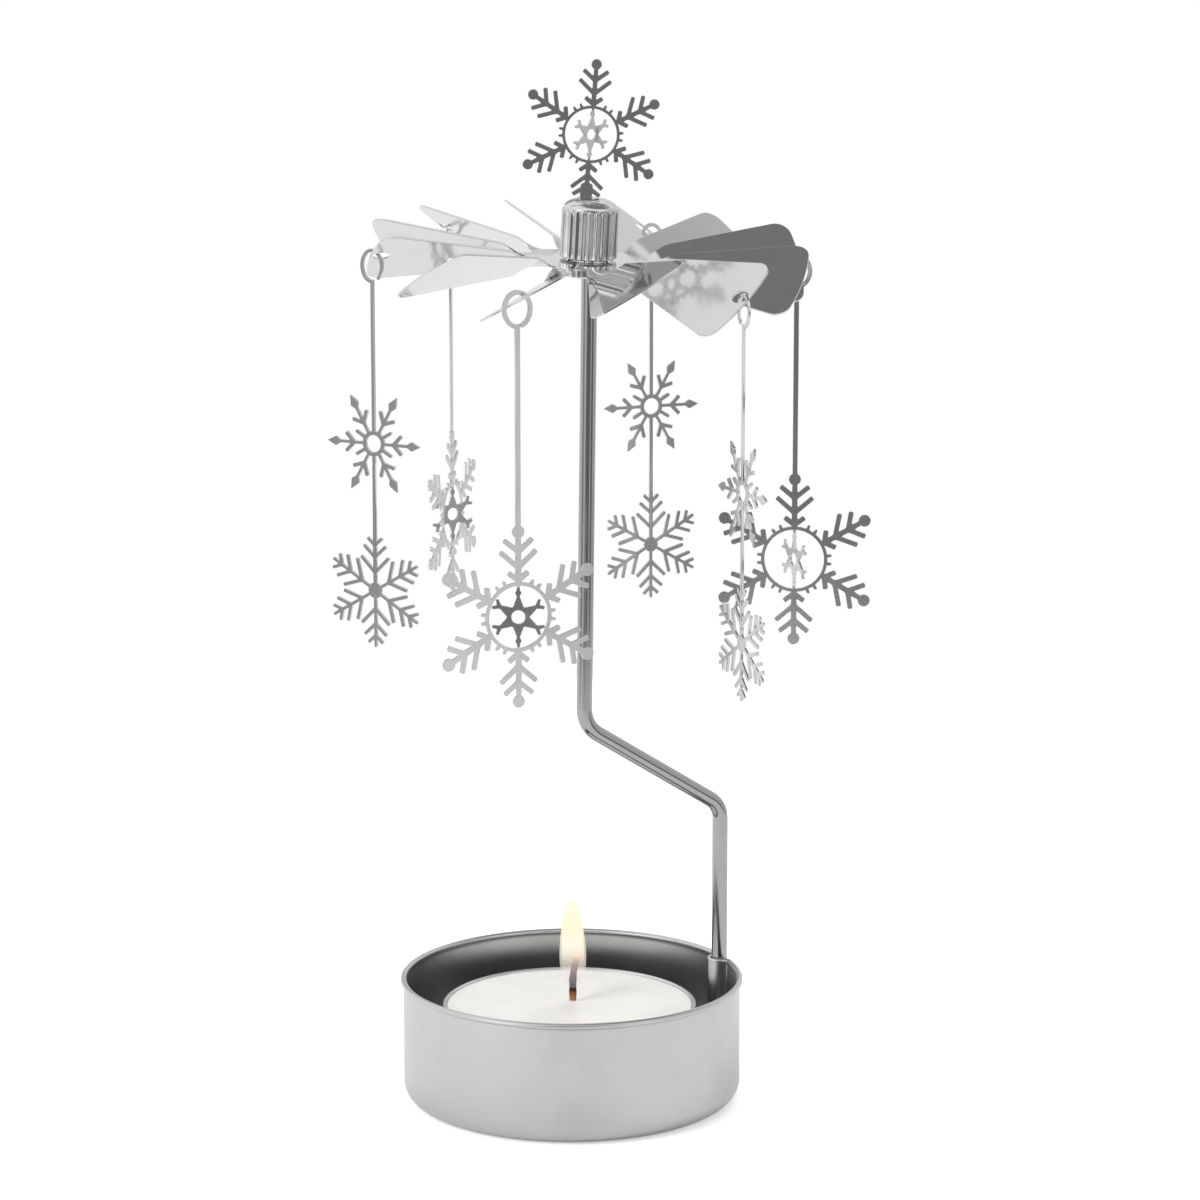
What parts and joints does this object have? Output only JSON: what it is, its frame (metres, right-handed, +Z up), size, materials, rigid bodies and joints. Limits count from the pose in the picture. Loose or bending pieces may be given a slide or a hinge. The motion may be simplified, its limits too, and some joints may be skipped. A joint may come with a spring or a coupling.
{
  "type": "rotating candle holder",
  "caption": "Pressed metal cup for a tealight, with a bent wire rising over the flame to a needle on which a fan wheel with hanging snowflakes turns.",
  "frame": {"origin": "middle of the cup's flat underside", "axes": "+Z up along the cup's axis, -Y towards the picture's camera; the wire's foot stands in the cup's wall 23 degrees from +X towards +Y"},
  "size_m": [0.0796, 0.069, 0.1542],
  "materials": {
    "cup_metal": "satin",
    "wire_metal": "drawn, slightly dull shine",
    "bright_metal": "polished plating on thin stamped sheet",
    "bearing": "polished",
    "tin_metal": "bright thin sheet",
    "wax": "wax, waxy half shine",
    "wick": "charred cotton"
  },
  "bodies": {
    "stand": {"candle_cup": "cup_metal", "stand_arm": "wire_metal"},
    "rotor": {"blade_wheel": "bright_metal", "hub_cap": "bright_metal", "hub_clamp": "bright_metal", "pivot_bearing": "bearing", "top_snowflake": "bright_metal"},
    "hanging_single_a": {"pendant_single_a": "bright_metal"},
    "hanging_double_a": {"pendant_double_a": "bright_metal"},
    "hanging_single_b": {"pendant_single_b": "bright_metal"},
    "hanging_double_b": {"pendant_double_b": "bright_metal"},
    "hanging_single_c": {"pendant_single_c": "bright_metal"},
    "hanging_double_c": {"pendant_double_c": "bright_metal"},
    "tealight": {"tealight_shell": "tin_metal", "tealight_wax": "wax", "wick_base": "tin_metal", "tealight_wick": "wick"}
  },
  "joints": [
    {"name": "rotor_spin", "type": "hinge", "parent": "stand", "child": "rotor", "pos_m": [0.0028, 0, 0.13083], "axis": [0.0527, -0.0636, 0.9966], "continuous": true},
    {"name": "single_a_swing", "type": "hinge", "parent": "rotor", "child": "hanging_single_a", "pos_m": [0.03309, 0.00789, 0.12293], "axis": [-0.1219, -0.9925, 0], "range_deg": [-15, 20]},
    {"name": "double_a_swing", "type": "hinge", "parent": "rotor", "child": "hanging_double_a", "pos_m": [0.01206, 0.03036, 0.12542], "axis": [0.4067, -0.9135, 0], "range_deg": [-15, 20]},
    {"name": "single_b_swing", "type": "hinge", "parent": "rotor", "child": "hanging_single_b", "pos_m": [-0.01829, 0.02399, 0.12702], "axis": [0.9613, -0.2756, 0], "range_deg": [-15, 20]},
    {"name": "double_b_swing", "type": "hinge", "parent": "rotor", "child": "hanging_double_b", "pos_m": [-0.02827, -0.0066, 0.12513], "axis": [0.5, 0.866, 0], "range_deg": [-15, 20]},
    {"name": "single_c_swing", "type": "hinge", "parent": "rotor", "child": "hanging_single_c", "pos_m": [-0.00711, -0.02948, 0.12148], "axis": [-0.3907, 0.9205, 0], "range_deg": [-15, 20]},
    {"name": "double_c_swing", "type": "hinge", "parent": "rotor", "child": "hanging_double_c", "pos_m": [0.02422, -0.02228, 0.12046], "axis": [-0.9205, -0.3907, 0], "range_deg": [-15, 20]},
    {"name": "tealight_lift", "type": "slide", "parent": "stand", "child": "tealight", "axis": [0, 0, 1], "range_m": [0, 0.02]}
  ]
}
